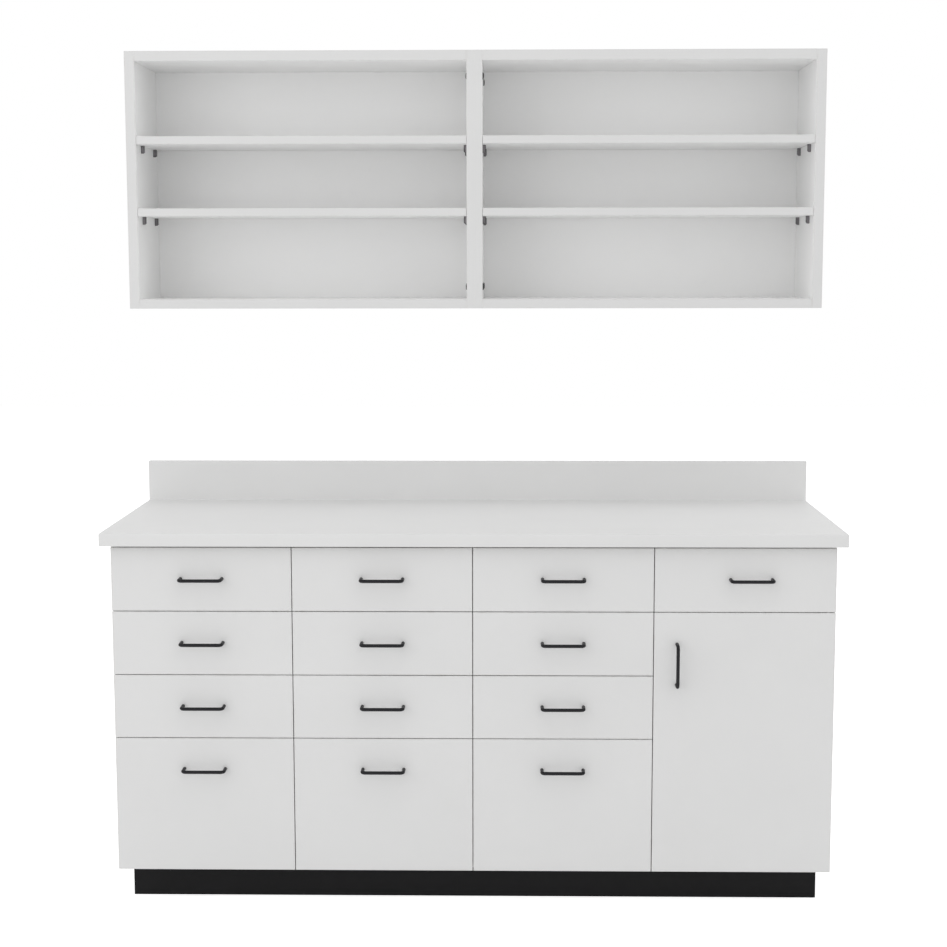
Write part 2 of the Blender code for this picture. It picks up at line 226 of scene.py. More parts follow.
def seen_directly(tree):
    """1 for rays that show the background itself: from the camera, in a reflection or through glass."""
    path = add(tree, "ShaderNodeLightPath").outputs
    first = calc(tree, "MAXIMUM", path["Is Camera Ray"], path["Is Glossy Ray"])
    return calc(tree, "MAXIMUM", first, path["Is Transmission Ray"])


world = bpy.data.worlds.new("studio")
bpy.context.scene.world = world
sky = bare_tree(world)
lit = out(sky, "ShaderNodeBackground", {"Color": WHITE, "Strength": AMBIENT})
shown = out(sky, "ShaderNodeBackground", {"Color": WHITE, "Strength": 1.0})
both = out(sky, "ShaderNodeMixShader", {0: seen_directly(sky), 1: lit, 2: shown})
add(sky, "ShaderNodeOutputWorld", {"Surface": both})

floor_finish = bpy.data.materials.new("studio_floor")
tree = bare_tree(floor_finish)
matte = out(tree, "ShaderNodeBsdfDiffuse", {"Color": FLOOR_COLOUR})
glow = calc(tree, "MULTIPLY", seen_directly(tree), FLOOR_GLOW)
light = out(tree, "ShaderNodeEmission", {"Color": WHITE, "Strength": glow})
both = out(tree, "ShaderNodeAddShader", {0: matte, 1: light})
add(tree, "ShaderNodeOutputMaterial", {"Surface": both})
shape = bmesh.new()
bmesh.ops.create_grid(shape, x_segments=1, y_segments=1, size=FLOOR_REACH)
studio_floor = new_object("studio_floor", to_mesh("studio_floor", shape, (floor_finish,)))
studio_floor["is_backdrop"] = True

for name, place, size, watts in LAMPS:
    data = bpy.data.lights.new(name, "AREA")
    data.shape, data.size, data.energy = "SQUARE", size, watts
    lamp = new_object(name, data)
    lamp.location = place
    lamp.rotation_euler = (CABINET_MIDDLE - Vector(place)).to_track_quat("-Z", "Y").to_euler()
    lamp.visible_camera = False
bpy.context.scene.view_settings.view_transform = "Standard"
print("studio: white world and floor,", len(LAMPS), "soft lamps")

# %% [markdown]
# ## Shared surface effects
# White laminate is never one flat colour: it has a pebble finer than a millimetre, a tone that drifts over a
# sheet, wiping marks in its sheen, and a slight greying along handled edges. Melamine and edge band share
# that at other values, so it is one group. Object coordinates keep the pattern at its true size, because
# every piece has its place in its mesh. The edge mask is an attribute on each board's vertices, because
# boards have too few of them for a curvature mask.

# %% Board skin group
WIPE_STRETCH, WIPE_SLANT = (7.0, 7.0, 18.0), (0.2, 0.3, 0.1)
EFFECT = ("Tone", "Sheen", "Height")
inputs = {"Grain": 0.0006, "Drift": 0.012, "Scuff": 0.4}
skin, given, result = new_group("board_skin", inputs, *EFFECT, "Wear")
place = add(skin, "ShaderNodeTexCoord").outputs["Object"]
fine = calc(skin, "DIVIDE", 1.0, given["Grain"])
pebble = noise(skin, place, fine, detail=2.0, roughness=0.55)
coarse = calc(skin, "MULTIPLY", fine, 0.45)
cells = add(skin, "ShaderNodeTexVoronoi", {"Vector": place, "Scale": coarse}, feature="SMOOTH_F1")
height = calc(skin, "ADD", cells.outputs["Distance"], pebble)

cloud = noise(skin, place, scale=4.5, detail=4.0, roughness=0.6)
less = calc(skin, "SUBTRACT", 1.0, given["Drift"])
more = calc(skin, "ADD", 1.0, given["Drift"])
drift = spread(skin, cloud, less, more)
tone = calc(skin, "MULTIPLY", drift, spread(skin, pebble, 0.985, 1.01))

wiped = out(skin, "ShaderNodeMapping", {"Vector": place, "Scale": WIPE_STRETCH, "Rotation": WIPE_SLANT})
sheen = spread(skin, noise(skin, wiped, scale=1.0, detail=3.0), -0.02, 0.02)

edge = add(skin, "ShaderNodeAttribute", attribute_name="edge").outputs["Fac"]
rubs = noise(skin, place, scale=38.0, detail=6.0, roughness=0.7)
patch = spread(skin, rubs, 0.0, 1.0, start=0.42, end=0.72)
wear = calc(skin, "MULTIPLY", calc(skin, "MULTIPLY", edge, patch), given["Scuff"])
put_out(skin, result, Tone=tone, Sheen=sheen, Height=height, Wear=wear)
print("board_skin outputs:", [socket.name for socket in result if socket.name])

# %% [markdown]
# Metal needs another effect: rolled slides have lines along their length, plated hinges and clips a cloudy
# plating. One group does both, and its Along input stretches the grain. The powder coat on the pulls, the
# plinth's foil and the plastic caps share a third effect, the soft orange peel of a coat that has flowed.

# %% Metal and coat groups
inputs = {"Along": (1.0, 1.0, 1.0), "Fineness": 900.0}
plating, given, result = new_group("plated_metal", inputs, *EFFECT)
place = add(plating, "ShaderNodeTexCoord").outputs["Object"]
drawn = out(plating, "ShaderNodeVectorMath", {0: place, 1: given["Along"]}, operation="MULTIPLY")
lines = noise(plating, drawn, given["Fineness"], detail=3.0)
tone = spread(plating, noise(plating, place, scale=55.0, detail=4.0), 0.86, 1.06)
put_out(plating, result, Tone=tone, Sheen=spread(plating, lines, -0.07, 0.09), Height=lines)

peel, given, result = new_group("coat_peel", {"Peel": 0.0011, "Dust": 0.3}, *EFFECT)
place = add(peel, "ShaderNodeTexCoord").outputs["Object"]
flow = noise(peel, place, calc(peel, "DIVIDE", 1.0, given["Peel"]), detail=1.5)
film = noise(peel, place, scale=24.0, detail=6.0, roughness=0.65)
dusty = calc(peel, "MULTIPLY", spread(peel, film, 0.0, 1.0, start=0.35, end=0.75), given["Dust"])
tone, sheen = calc(peel, "ADD", dusty, 1.0), calc(peel, "MULTIPLY", dusty, 0.25)
put_out(peel, result, Tone=tone, Sheen=sheen, Height=flow)
print("effects:", [group.name for group in (skin, plating, peel)])

# %% [markdown]
# ## Finishes
# Each finish is a Principled shader with its own plain values, and one of the groups above for what changes
# over the surface. The colours are those of the photograph: neutral whites, a black plinth and black pulls.
# Two whites carry painted light: the shelf laminate and the front band are lighter than the white laminate,
# so that the open wall bays and the gaps between fronts look less shaded.

# %% Finishes
RELIEF = {"board_skin": 0.000012, "plated_metal": 0.000004, "coat_peel": 0.00002}
WORN_WHITE, WORN_GLUE, WORN_BACKER = (0.60, 0.59, 0.57), (0.38, 0.36, 0.33), (0.36, 0.34, 0.31)


def new_finish(name, metallic=0.0, specular=0.5):
    """A material with a Principled shader, and its tree."""
    material = bpy.data.materials.new(name)
    material.use_nodes = True
    shader = material.node_tree.nodes["Principled BSDF"]
    shader.inputs["Metallic"].default_value = metallic
    shader.inputs["Specular IOR Level"].default_value = specular
    return material, material.node_tree, shader


def blend(tree, share, under, over, kind="MIX"):
    """Two colours in one."""
    return add(tree, "ShaderNodeMix", {0: share, 6: under, 7: over}, data_type="RGBA", blend_type=kind).outputs[2]


def roughen(tree, shader, height, depth):
    """Links a changing height to the shader: depth is what a height of 1 stands for."""
    bump = out(tree, "ShaderNodeBump", {"Strength": 1.0, "Distance": depth, "Height": height})
    tree.links.new(bump, shader.inputs["Normal"])


def finish(name, effect, colour, roughness, worn=WORN_WHITE, metallic=0.0, specular=0.5, **values):
    """A finish with one of the groups: values go to the group, and worn is the colour of rubbed edges."""
    material, tree, shader = new_finish(name, metallic, specular)
    marks = add(tree, "ShaderNodeGroup", values, node_tree=effect).outputs
    surface = blend(tree, 1.0, (*colour, 1.0), marks["Tone"], "MULTIPLY")
    if "Wear" in marks:
        surface = blend(tree, marks["Wear"], surface, (*worn, 1.0))
    tree.links.new(surface, shader.inputs["Base Color"])
    tree.links.new(calc(tree, "ADD", marks["Sheen"], roughness), shader.inputs["Roughness"])
    roughen(tree, shader, marks["Height"], RELIEF[effect.name])
    return material


white_laminate = finish("white_laminate", skin, (0.74, 0.74, 0.738), 0.46)
# Painted light: the wall cases' inner faces and shelves are the same laminate made lighter (0.94 against 0.74),
# standing in for light that reaches the backs of the open bays.
shelf_laminate_painted_light = finish("shelf_laminate_painted_light", skin, (0.94, 0.94, 0.937), 0.50)
worktop_laminate = finish("worktop_laminate", skin, (0.745, 0.745, 0.742), 0.46, Grain=0.0005)
edge_band = finish("edge_band", skin, (0.705, 0.705, 0.703), 0.42, Grain=0.0011, Scuff=0.55)
# Painted light: the band round the drawer fronts and the door is lighter than their face (0.82 against 0.74), so
# that the shaded gaps between fronts look lighter.
front_band_painted_light = finish("front_band_painted_light", skin, (0.82, 0.82, 0.817), 0.42, Grain=0.0011, Scuff=0.55)
glue_line = finish("glue_line", skin, (0.52, 0.505, 0.48), 0.60, WORN_GLUE, Scuff=0.2)
melamine = finish("melamine_board", skin, (0.78, 0.78, 0.775), 0.50, Grain=0.0008, Drift=0.018)
backer_sheet = finish("backer_sheet", skin, (0.46, 0.45, 0.43), 0.62, WORN_BACKER, Grain=0.0015, Drift=0.06)
plinth_foil = finish("plinth_foil", peel, (0.0085, 0.0085, 0.0090), 0.55, specular=0.12, Peel=0.0018, Dust=0.35)
pull_coat = finish("pull_powder_coat", peel, (0.0088, 0.0086, 0.0104), 0.42, specular=0.20, Peel=0.0007, Dust=0.25)
cap_plastic = finish("cap_plastic", peel, (0.020, 0.020, 0.022), 0.40, specular=0.4, Peel=0.0016, Dust=0.5)
slide_zinc = finish("slide_zinc", plating, (0.66, 0.67, 0.69), 0.30, metallic=1.0, Along=(1.0, 0.02, 1.0))
hinge_nickel = finish("hinge_nickel", plating, (0.66, 0.64, 0.61), 0.24, metallic=1.0, Fineness=600.0)
clip_nickel = finish("clip_nickel", plating, (0.23, 0.22, 0.23), 0.36, metallic=1.0, Fineness=700.0)
print(len(bpy.data.materials), "materials so far")

# %% [markdown]
# Three finishes are used by one kind of surface only, and need no group: the flakes of bare chipboard on
# hidden edges, the brown rear of the hardboard backs, and the clear rubber of the bumpers. Each goes between
# two tones by a texture of its own.


# %% Chipboard, hardboard and bumper
def two_tone(name, roughness, dark, light, start=0.0, end=1.0):
    """A finish between two colours, with the place on the surface and the socket that mixes them."""
    material, tree, shader = new_finish(name)
    shader.inputs["Roughness"].default_value = roughness
    ramp = add(tree, "ShaderNodeValToRGB")
    for stop, position, colour in zip(ramp.color_ramp.elements, (start, end), (dark, light)):
        stop.position, stop.color = position, (*colour, 1.0)
    tree.links.new(ramp.outputs["Color"], shader.inputs["Base Color"])
    return material, tree, shader, add(tree, "ShaderNodeTexCoord").outputs["Object"], ramp.inputs[0]


chipboard, tree, shader, place, mix = two_tone("chipboard_edge", 0.85, (0.30, 0.20, 0.11), (0.56, 0.43, 0.28))
flakes = add(tree, "ShaderNodeTexVoronoi", {"Vector": place, "Scale": 420.0, "Randomness": 1.0})
tree.links.new(flakes.outputs["Color"], mix)
roughen(tree, shader, noise(tree, place, scale=900.0, detail=3.0), depth=0.00018)

hardboard, tree, shader, place, mix = two_tone(
    "hardboard_rear", 0.75, (0.17, 0.10, 0.055), (0.30, 0.19, 0.11), start=0.3, end=0.7
)
tree.links.new(noise(tree, place, scale=260.0, detail=6.0, roughness=0.7), mix)
screen = {"Vector": place, "Scale": 140.0, "Distortion": 3.0, "Detail": 2.0}
roughen(tree, shader, add(tree, "ShaderNodeTexWave", screen).outputs["Fac"], depth=0.00015)

bumper_rubber, tree, shader, place, mix = two_tone("bumper_rubber", 0.28, (0.55, 0.56, 0.55), (0.72, 0.72, 0.70))
tree.links.new(noise(tree, place, scale=300.0, detail=2.0), mix)
shader.inputs["Transmission Weight"].default_value = 0.35
print("three more:", chipboard.name, hardboard.name, bumper_rubber.name)

# %% [markdown]
# ## Boards
# Every panel here is a sheet of laminated chipboard with a plastic band glued to its edges. A plain cube has
# edges that no board has, so the maker below eases them. It also keeps the band's thickness and the hairline
# of glue as real faces round the broad sides of a front, marks which side has which finish, and stores the
# edge attribute that the wear reads: 1 on the eased edge and 0 a few millimetres in.

# %% Board maker
EDGE_ROUND, BAND_T, GLUE_T = 0.0009, 0.0013, 0.0002
WEAR_REACH, WEAR_SHARE = 0.003, 0.3
FLAT = 0.999
AXES = "xyz"


def new_shape():
    """An empty shape whose corners can carry the edge mask."""
    shape = bmesh.new()
    shape.verts.layers.float.new("edge")
    return shape


def side_of(face):
    """The side that a face looks to, such as -y for the front."""
    axis = max(range(3), key=lambda i: abs(face.normal[i]))
    return ("-" if face.normal[axis] < 0 else "+") + AXES[axis]


def ease_edges(shape, rims, width, **settings):
    """Rounds edges in two steps, each edge once and always in the same order."""
    rims = list(dict.fromkeys(rims))
    bmesh.ops.bevel(shape, geom=rims, offset=width, segments=2, profile=0.5, affect="EDGES", **settings)


def inset(shape, face, width):
    """Draws a border inside a face and returns it: the face itself becomes the middle."""
    return bmesh.ops.inset_individual(shape, faces=[face], thickness=width, use_even_offset=True)["faces"]


def add_board(shape, low, high, skins=None, ease=EDGE_ROUND, band=None, glue=None, butted=None):
    """Adds a board between two corners. skins gives the finish number of each side that isn't number 0.

    With band and glue, which are finish numbers, both broad sides show the edge band all round. The side named
    butted lies against a neighbour, so its rims aren't worn.
    """
    skins = skins or {}
    known = set(shape.faces)
    size = Vector(high) - Vector(low)
    middle = (Vector(high) + Vector(low)) / 2
    scale = Matrix.Translation(middle) @ Matrix.Diagonal((*size, 1.0))
    corners = bmesh.ops.create_cube(shape, size=1.0, matrix=scale)["verts"]
    ease_edges(shape, (rim for corner in corners for rim in corner.link_edges), ease)
    shape.normal_update()
    fresh = [face for face in shape.faces if face not in known]
    layer = shape.verts.layers.float["edge"]
    thin = AXES[min(range(3), key=lambda i: size[i])]
    for face in fresh:
        face.material_index = skins.get(side_of(face), 0)
        face.smooth = max(abs(part) for part in face.normal) < FLAT
        for corner in face.verts:
            corner[layer] = 1.0
    for face in [face for face in fresh if not face.smooth]:
        if band is not None and side_of(face)[1] == thin:
            for width, number in ((BAND_T - ease, band), (GLUE_T, glue)):
                for border in inset(shape, face, width):
                    border.material_index = number
        short = min(rim.calc_length() for rim in face.edges)
        inset(shape, face, min(WEAR_REACH, WEAR_SHARE * short))
        for corner in face.verts:
            corner[layer] = 0.0
    if butted:
        axis = AXES.index(butted[1])
        plane = high[axis] if butted[0] == "+" else low[axis]
        for corner in {corner for face in fresh for corner in face.verts}:
            if abs(corner.co[axis] - plane) < 2 * ease:
                corner[layer] = 0.0


def make_piece(name, mesh, body, slot, *nodes):
    """A piece of the cabinet: it rides on a body and stands for the CAD nodes named."""
    thing = new_object(name, mesh)
    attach(thing, body)
    if nodes:
        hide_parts(*nodes)
    return thing


def shaped_piece(name, shape, finishes, body, slot, *nodes):
    """A piece made straight from its shape."""
    return make_piece(name, to_mesh(name, shape, finishes), body, slot, *nodes)


def case_board(node, low, high, skins, finishes, ease=EDGE_ROUND, kind="board"):
    """A piece of the case that is one board."""
    shape = new_shape()
    add_board(shape, low, high, skins, ease)
    shaped_piece(f"{node}_{kind}", shape, finishes, CASE_BODY, "white_laminate", node)


# %% [markdown]
# ## Drawer fronts
# Thirteen fronts hang 2 mm apart, each a 19 mm board with a band on all four edges. The rear of a front is
# the same laminate as its face. The band is painted lighter than the face: painted light that lightens the
# shade in the gaps between fronts.

# %% Drawer fronts
FACE_BAND, FACE_GLUE, FACE_CORE = 1, 2, 3
FACE_EASE = 0.0005
ALL_BANDED = dict.fromkeys(("-x", "+x", "-z", "+z"), FACE_BAND)
# The second finish is the lighter front band, which paints light into the gaps between fronts.
face_finishes = (white_laminate, front_band_painted_light, glue_line)


def front_board(node):
    """The board of a drawer front or the door."""
    shape = new_shape()
    add_board(shape, *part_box(node), ALL_BANDED, FACE_EASE, FACE_BAND, FACE_GLUE)
    return shape


for drawer in drawers:
    node = f"{drawer}_front"
    face = shaped_piece(f"{drawer}_face", front_board(node), face_finishes, drawer, "white_laminate", node)
print(len(drawers), "fronts of", len(face.data.polygons), "faces each")

# %% [markdown]
# ## Cupboard door
# The door is a front with two 35 mm bores in its back for the hinge cups. The bores are cut with a Boolean,
# and their walls take the chipboard finish by carrying that finish's number on the cutter.

# %% Cupboard door
CUP_R, CUP_DEPTH, CUP_IN, HINGE_END = 0.0178, 0.0136, 0.0205, 0.100
BORER_LENGTH, BORER_SIDES = 0.02, 48
door_finishes = (*face_finishes, chipboard)
door_low, door_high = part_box("door")
CUP_X = door_high.x - CUP_IN
HINGE_Z = {"lower": door_low.z + HINGE_END, "upper": door_high.z - HINGE_END}


def settled_mesh(thing):
    """The mesh that an object's modifiers make. The object itself is taken away."""
    bpy.context.view_layer.update()
    mesh = bpy.data.meshes.new_from_object(thing.evaluated_get(bpy.context.evaluated_depsgraph_get()))
    thing.modifiers.clear()
    bpy.data.objects.remove(thing)
    return mesh


leaf = new_object("door_leaf", to_mesh("door_leaf", front_board("door"), door_finishes))
shape = new_shape()
for z in HINGE_Z.values():
    middle = (CUP_X, door_high.y - CUP_DEPTH + BORER_LENGTH / 2, z)
    spot = Matrix.Translation(middle) @ Matrix.Rotation(math.pi / 2, 4, "X")
    size = {"radius1": CUP_R, "radius2": CUP_R, "depth": BORER_LENGTH}
    bmesh.ops.create_cone(shape, cap_ends=True, segments=BORER_SIDES, matrix=spot, **size)
for face in shape.faces:
    face.material_index = FACE_CORE
borer = new_object("borer", to_mesh("borer", shape, door_finishes))
cut = leaf.modifiers.new("bores", "BOOLEAN")
cut.operation, cut.solver, cut.object = "DIFFERENCE", "EXACT", borer
door_mesh = settled_mesh(leaf)
bpy.data.objects.remove(borer)
make_piece("door_face", door_mesh, DOOR_BODY, "white_laminate", "door")
print("door:", len(door_mesh.polygons), "faces")

# %% [markdown]
# ## Worktop
# The worktop is one sheet of laminate bent over a chipboard core: it turns over the front edge, sweeps up
# into the upstand and turns over its top. Its section is drawn once, with an arc at each bend, and run along
# the cabinet. An extruded section is chosen over bevels, because each bend has a radius of its own. Under the
# overhang the sheet is cut back by a millimetre, which gives the dark line between worktop and fronts.

# %% Worktop
WORKTOP_T, UPSTAND_T = 0.031, 0.020
FRONT_ROUND, LIP_ROUND, LIP_RISE, COVE = 0.0035, 0.0010, 0.0011, 0.003
ARC_STEPS, SMOOTH_BELOW = 6, math.radians(30.0)
END_EASE = 0.0007
BROAD = 0.01
UNDER_AND_REAR = {"-z": 1, "+y": 2}


def arc(middle, radius, start, end, steps=ARC_STEPS):
    """Points on an arc, angles in degrees."""
    angles = [math.radians(start + (end - start) * i / steps) for i in range(steps + 1)]
    return [(middle[0] + radius * math.cos(a), middle[1] + radius * math.sin(a)) for a in angles]


def run_section(shape, outline, start, end):
    """Runs a closed outline of (y, z) along X. Returns the faces along the run and at its ends."""
    near, far = [[shape.verts.new((x, y, z)) for y, z in outline] for x in (start, end)]
    ends = [shape.faces.new(ring) for ring in (near, far)]
    strips = zip(near, near[1:] + near[:1], far[1:] + far[:1], far)
    sides = [shape.faces.new(corners) for corners in strips]
    bmesh.ops.recalc_face_normals(shape, faces=sides + ends)
    for face in sides:
        face.smooth = True
        for rim in face.edges:
            if len(rim.link_faces) == 2 and rim.calc_face_angle(0.0) > SMOOTH_BELOW:
                rim.smooth = False
    return sides, ends


low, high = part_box("worktop")
front, wall, foot, crown = low.y, high.y, low.z, high.z
deck, lip, upright = foot + WORKTOP_T, foot + LIP_RISE, wall - UPSTAND_T
case_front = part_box("base_left_side")[0].y
outline = [(wall, foot), (wall, crown)]
outline += arc((upright + FRONT_ROUND, crown - FRONT_ROUND), FRONT_ROUND, 90, 180)
outline += arc((upright - COVE, deck + COVE), COVE, 0, -90)
outline += arc((front + FRONT_ROUND, deck - FRONT_ROUND), FRONT_ROUND, 90, 180)
outline += arc((front + LIP_ROUND, lip + LIP_ROUND), LIP_ROUND, 180, 270)
outline += [(case_front, lip), (case_front, foot)]
shape = new_shape()
sides, ends = run_section(shape, outline, low.x, high.x)
for face in sides:
    if face.calc_area() > BROAD:
        face.material_index = UNDER_AND_REAR.get(side_of(face), 0)
ease_edges(shape, (rim for face in ends for rim in face.edges), END_EASE)
sheet_finishes = (worktop_laminate, backer_sheet, chipboard)
worktop = shaped_piece("worktop_sheet", shape, sheet_finishes, CASE_BODY, "worktop_laminate", "worktop")
print("worktop:", len(worktop.data.polygons), "faces")

# %% [markdown]
# ## Base case and plinth
# Sides, partitions, deck and back are boards. Only their front edges are banded. The rear and lower edges
# are bare chipboard, as on any casework, and the back is hardboard with a white face. The solids of the
# uprights also hold the slide channels, so each board's thickness is counted from a face or a middle.

# %% Base case and plinth
BOARD, LAST_PARTITION_X = 0.019, 0.419
BACK_SINK, BACK_EASE, PLINTH_JOINT = 0.0005, 0.0004, 0.0002
CASE_BAND, CASE_CORE, CASE_OUTSIDE = 1, 2, 3
front_banded = {"-y": CASE_BAND, "+y": CASE_CORE}
upright_skins = {**front_banded, "-z": CASE_CORE, "+z": CASE_CORE}
case_finishes = (melamine, edge_band, chipboard, white_laminate)
for node, outside in (("base_left_side", "-x"), ("base_right_side", "+x")):
    low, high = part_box(node)
    if outside == "-x":
        high.x = low.x + BOARD
    else:
        low.x = high.x - BOARD
    case_board(node, low, high, {**upright_skins, outside: CASE_OUTSIDE}, case_finishes)
for node in ("base_partition_1", "base_partition_2", "base_partition_3"):
    low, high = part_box(node)
    middle = LAST_PARTITION_X if node == "base_partition_3" else (low.x + high.x) / 2
    low.x, high.x = middle - BOARD / 2, middle + BOARD / 2
    case_board(node, low, high, upright_skins, case_finishes)
deck_skins = {**front_banded, "-x": CASE_CORE, "+x": CASE_CORE}
case_board("base_deck", *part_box("base_deck"), deck_skins, case_finishes)
low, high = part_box("base_back")
high.y -= BACK_SINK
case_board("base_back", low, high, {"+y": 1}, (melamine, hardboard), BACK_EASE, "sheet")

low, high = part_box("toe_kick")
shape = new_shape()
for start, end in ((low.y, low.y + BOARD), (high.y - BOARD, high.y)):
    add_board(shape, (low.x, start, low.z), (high.x, end, high.z))
near, far = low.y + BOARD + PLINTH_JOINT, high.y - BOARD - PLINTH_JOINT
for start, end in ((low.x, low.x + BOARD), (high.x - BOARD, high.x)):
    add_board(shape, (start, near, low.z), (end, far, high.z))
shaped_piece("plinth_boards", shape, (plinth_foil,), CASE_BODY, "black_plinth", "toe_kick")
print("base case: five uprights, deck, back and plinth")

# %% [markdown]
# ## Wall cases and shelves
# Each wall case is two sides with a top and a floor between them and a thin back let in. The boards are
# separate shells in one piece, so that the hairline joints at the corners are real.

# %% Wall cases and shelves
WALL_END, WALL_MID, WALL_TOP, WALL_FLOOR = 0.024, 0.019, 0.024, 0.022
WALL_CASES = (("left", WALL_END, WALL_MID), ("right", WALL_MID, WALL_END))
LEVELS = ("lower", "upper")
BACK_T, JOINT = 0.006, 0.0001
WALL_EASE, TWIN_EASE = 0.0005, 0.00008
WALL_REAR, WALL_OUTSIDE = 3, 4
# Finish 0 is the lighter shelf laminate, which paints light into the inside of the open bays.
wall_finishes = (shelf_laminate_painted_light, edge_band, chipboard, hardboard, white_laminate)
end_banded = {**front_banded, "-z": WALL_OUTSIDE, "+z": WALL_OUTSIDE}
for word, left_t, right_t in WALL_CASES:
    node = f"wall_case_{word}"
    low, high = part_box(node)
    left, right = low.x + left_t, high.x - right_t
    shape = new_shape()
    if word == "left":
        outer, twin = (low, (left, high.y, high.z)), ((right, low.y, low.z), (0.0, high.y, high.z))
        outside, joined = "-x", "+x"
    else:
        twin, outer = ((0.0, low.y, low.z), (left, high.y, high.z)), ((right, low.y, low.z), high)
        outside, joined = "+x", "-x"
    add_board(shape, *outer, {**end_banded, outside: WALL_OUTSIDE}, WALL_EASE)
    add_board(shape, *twin, end_banded, TWIN_EASE, butted=joined)
    for bottom, top, outside in ((low.z, low.z + WALL_FLOOR, "-z"), (high.z - WALL_TOP, high.z, "+z")):
        skins = {**front_banded, outside: WALL_OUTSIDE}
        add_board(shape, (left + JOINT, low.y, bottom), (right - JOINT, high.y, top), skins, TWIN_EASE)
    back_low = (left, high.y - BACK_T, low.z + WALL_FLOOR)
    back_high = (right, high.y - BACK_SINK, high.z - WALL_TOP)
    add_board(shape, back_low, back_high, {"+y": WALL_REAR}, TWIN_EASE)
    shaped_piece(f"{node}_boards", shape, wall_finishes, CASE_BODY, "white_laminate", node)
    for level in LEVELS:
        node = f"wall_shelf_{word}_{level}"
        case_board(node, *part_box(node), front_banded, wall_finishes, WALL_EASE)
print("wall unit: two cases, four shelves")

# %% [markdown]
# ## Setting out what repeats
# Screws, clips, caps, bumpers and slide members repeat all over the cabinet. One Geometry Nodes tree sets
# them out: it takes points that carry the direction they face, stands a copy of a template on each with its
# Y axis up, turns it by a seeded random angle where asked, and makes one plain mesh of it.


# %% Setting-out tree
def close_tree(tree, result, geometry, finish):
    """Ends a Geometry Nodes tree with one plain mesh in one finish."""
    real = out(tree, "GeometryNodeRealizeInstances", {"Geometry": geometry})
    put_out(tree, result, Mesh=out(tree, "GeometryNodeSetMaterial", {"Geometry": real, "Material": finish}))


ALIGN = "FunctionNodeAlignRotationToVector"
UP = (0.0, 0.0, 1.0)
inputs = {"Points": GEOMETRY, "Template": "NodeSocketObject", "Random turn": 0.0, "Seed": 7, "Finish": FINISH}
setting, given, result = new_group("setting_out", inputs)
facing = out(setting, "GeometryNodeInputNamedAttribute", {"Name": "facing"}, data_type="FLOAT_VECTOR")
stood_turn = out(setting, ALIGN, {"Vector": facing}, axis="Z")
level_turn = out(setting, ALIGN, {"Rotation": stood_turn, "Vector": UP}, axis="Y", pivot_axis="Z")
source = add(setting, "GeometryNodeObjectInfo", {"Object": given["Template"], "As Instance": True})
copies = {"Points": given["Points"], "Instance": source.outputs["Geometry"], "Rotation": level_turn}
stood = out(setting, "GeometryNodeInstanceOnPoints", copies)
spin = add(setting, "FunctionNodeRandomValue", {2: 0.0, 3: given["Random turn"], 8: given["Seed"]})
about = out(setting, "ShaderNodeCombineXYZ", {"Z": spin.outputs[1]})
spun = out(setting, "GeometryNodeRotateInstances", {"Instances": stood, "Rotation": about})
close_tree(setting, result, spun, given["Finish"])


def grown_mesh(name, seed_mesh, group, inputs):
    """The mesh that a Geometry Nodes tree makes from another, with its inputs set by identifier."""
    tool = new_object(f"{name}_tool", seed_mesh)
    modifier = tool.modifiers.new(group.name, "NODES")
    modifier.node_group = group
    for item in group.interface.items_tree:
        if item.in_out == "INPUT" and item.name in inputs:
            modifier[item.identifier] = inputs[item.name]
    return settled_mesh(tool)


def set_out(name, spots, template, finish, body=CASE_BODY, slot="nickel_steel", turn=0.0):
    """Sets a template out on spots, each a place and the direction it faces, as one piece on a body."""
    points = bpy.data.meshes.new(name)
    points.from_pydata([place for place, _ in spots], [], [])
    facing = points.attributes.new("facing", "FLOAT_VECTOR", "POINT")
    for entry, (_, direction) in zip(facing.data, spots):
        entry.vector = direction
    mesh = grown_mesh(name, points, setting, {"Template": template, "Random turn": turn, "Finish": finish})
    mesh.name = name
    make_piece(name, mesh, body, slot)


templates = []


def new_template(name, shape):
    """A hidden object that the tree copies: it stands on z = 0 with its face towards +Z."""
    bmesh.ops.recalc_face_normals(shape, faces=shape.faces)
    thing = new_object(name, to_mesh(name, shape))
    thing.hide_render = True
    templates.append(thing)
    return thing


# %% [markdown]
# ## Templates
# A screw head is a small dome with a cross cut into it: twelve corners round the rim fit the twelve corners
# of the cross, so the head needs about fifty faces. Turned shapes, such as caps and bumpers, are rings
# joined into a stack.

# %% Turned shapes
SCREW_SIDES = 12
CROSS_REACH, CROSS_HALF, CROSS_TAPER, CROSS_FLOOR = 0.62, 0.13, 0.8, 0.25


def turned(shape, profile, sides):
    """Turns a profile of (radius, height) about Z. A flat face closes its foot, a radius of 0 its top."""
    rings = []
    for radius, z in profile:
        angles = [2 * math.pi * i / sides for i in range(sides if radius else 1)]
        rings.append([shape.verts.new((radius * math.cos(a), radius * math.sin(a), z)) for a in angles])
    for lower, upper in zip(rings, rings[1:]):
        for i in range(sides):
            j = (i + 1) % sides
            corners = [lower[i], lower[j], upper[j % len(upper)], upper[i % len(upper)]]
            shape.faces.new(list(dict.fromkeys(corners))).smooth = True
    shape.faces.new(list(reversed(rings[0])))
    return rings


